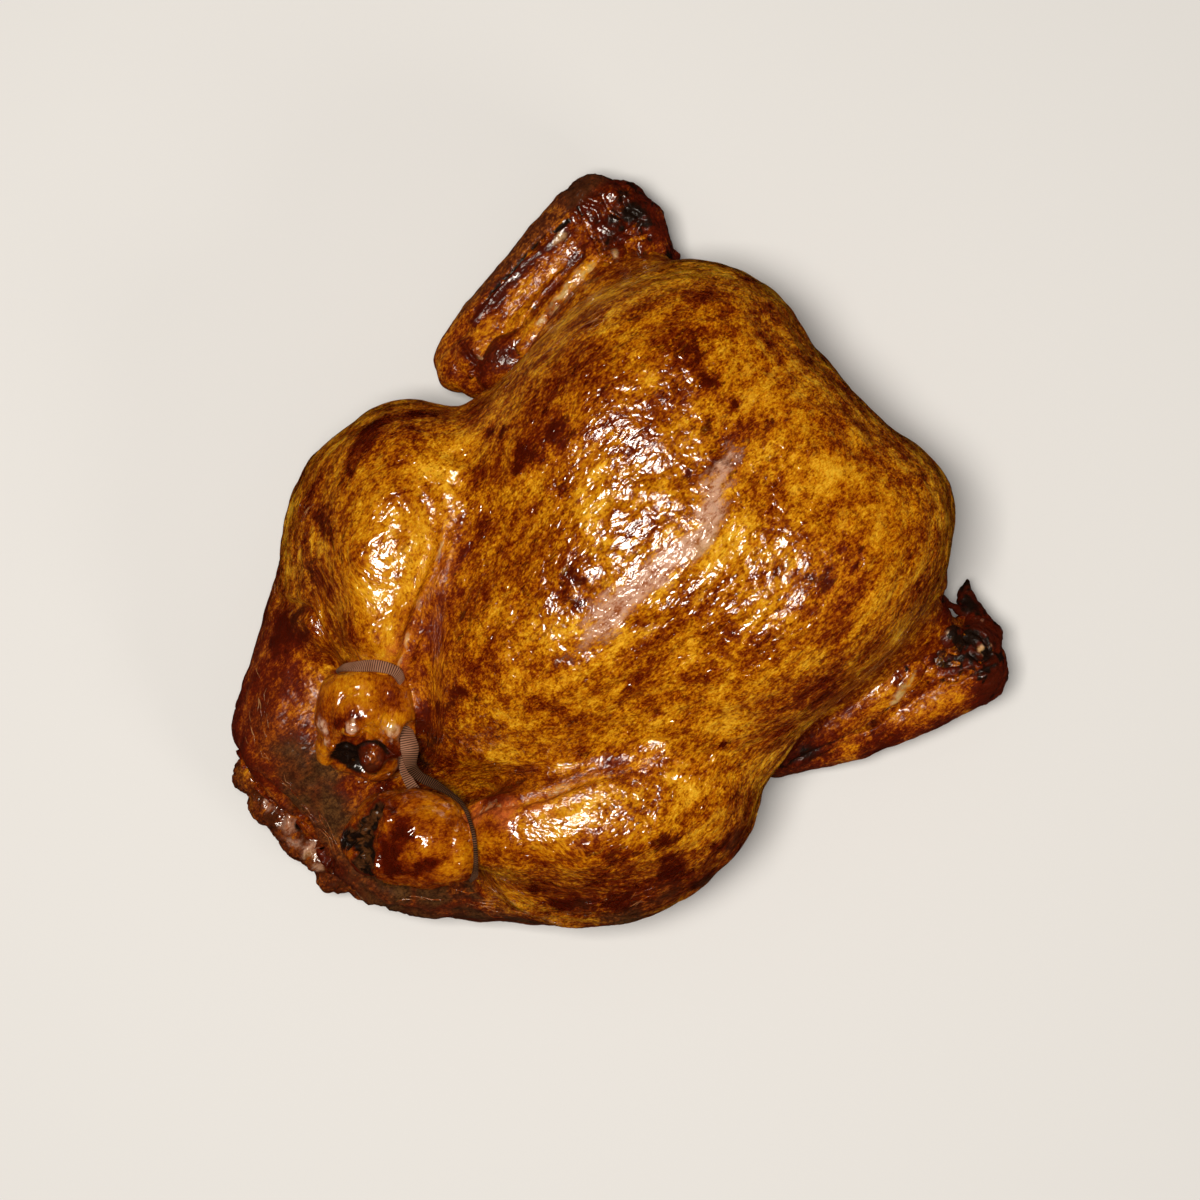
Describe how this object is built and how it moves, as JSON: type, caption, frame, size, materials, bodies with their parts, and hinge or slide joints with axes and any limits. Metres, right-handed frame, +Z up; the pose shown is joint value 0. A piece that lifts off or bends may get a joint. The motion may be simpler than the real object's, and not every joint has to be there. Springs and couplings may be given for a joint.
{
  "type": "roast chicken",
  "caption": "Whole roast chicken lying on its back, legs laid back along the belly with the ankles held by a thin elastic loop, wings folded by its sides.",
  "frame": {"origin": "on the surface that the bird lies on, under the middle of its own box", "axes": "+X from the tail to the neck end, +Y to the bird's right side, +Z up"},
  "size_m": [0.236, 0.2118, 0.1058],
  "materials": {
    "roasted_skin": "glossy roasted skin",
    "elastic": "matt ribbed"
  },
  "bodies": {
    "root": {"chicken": "roasted_skin", "trussing_elastic": "elastic"}
  },
  "joints": []
}
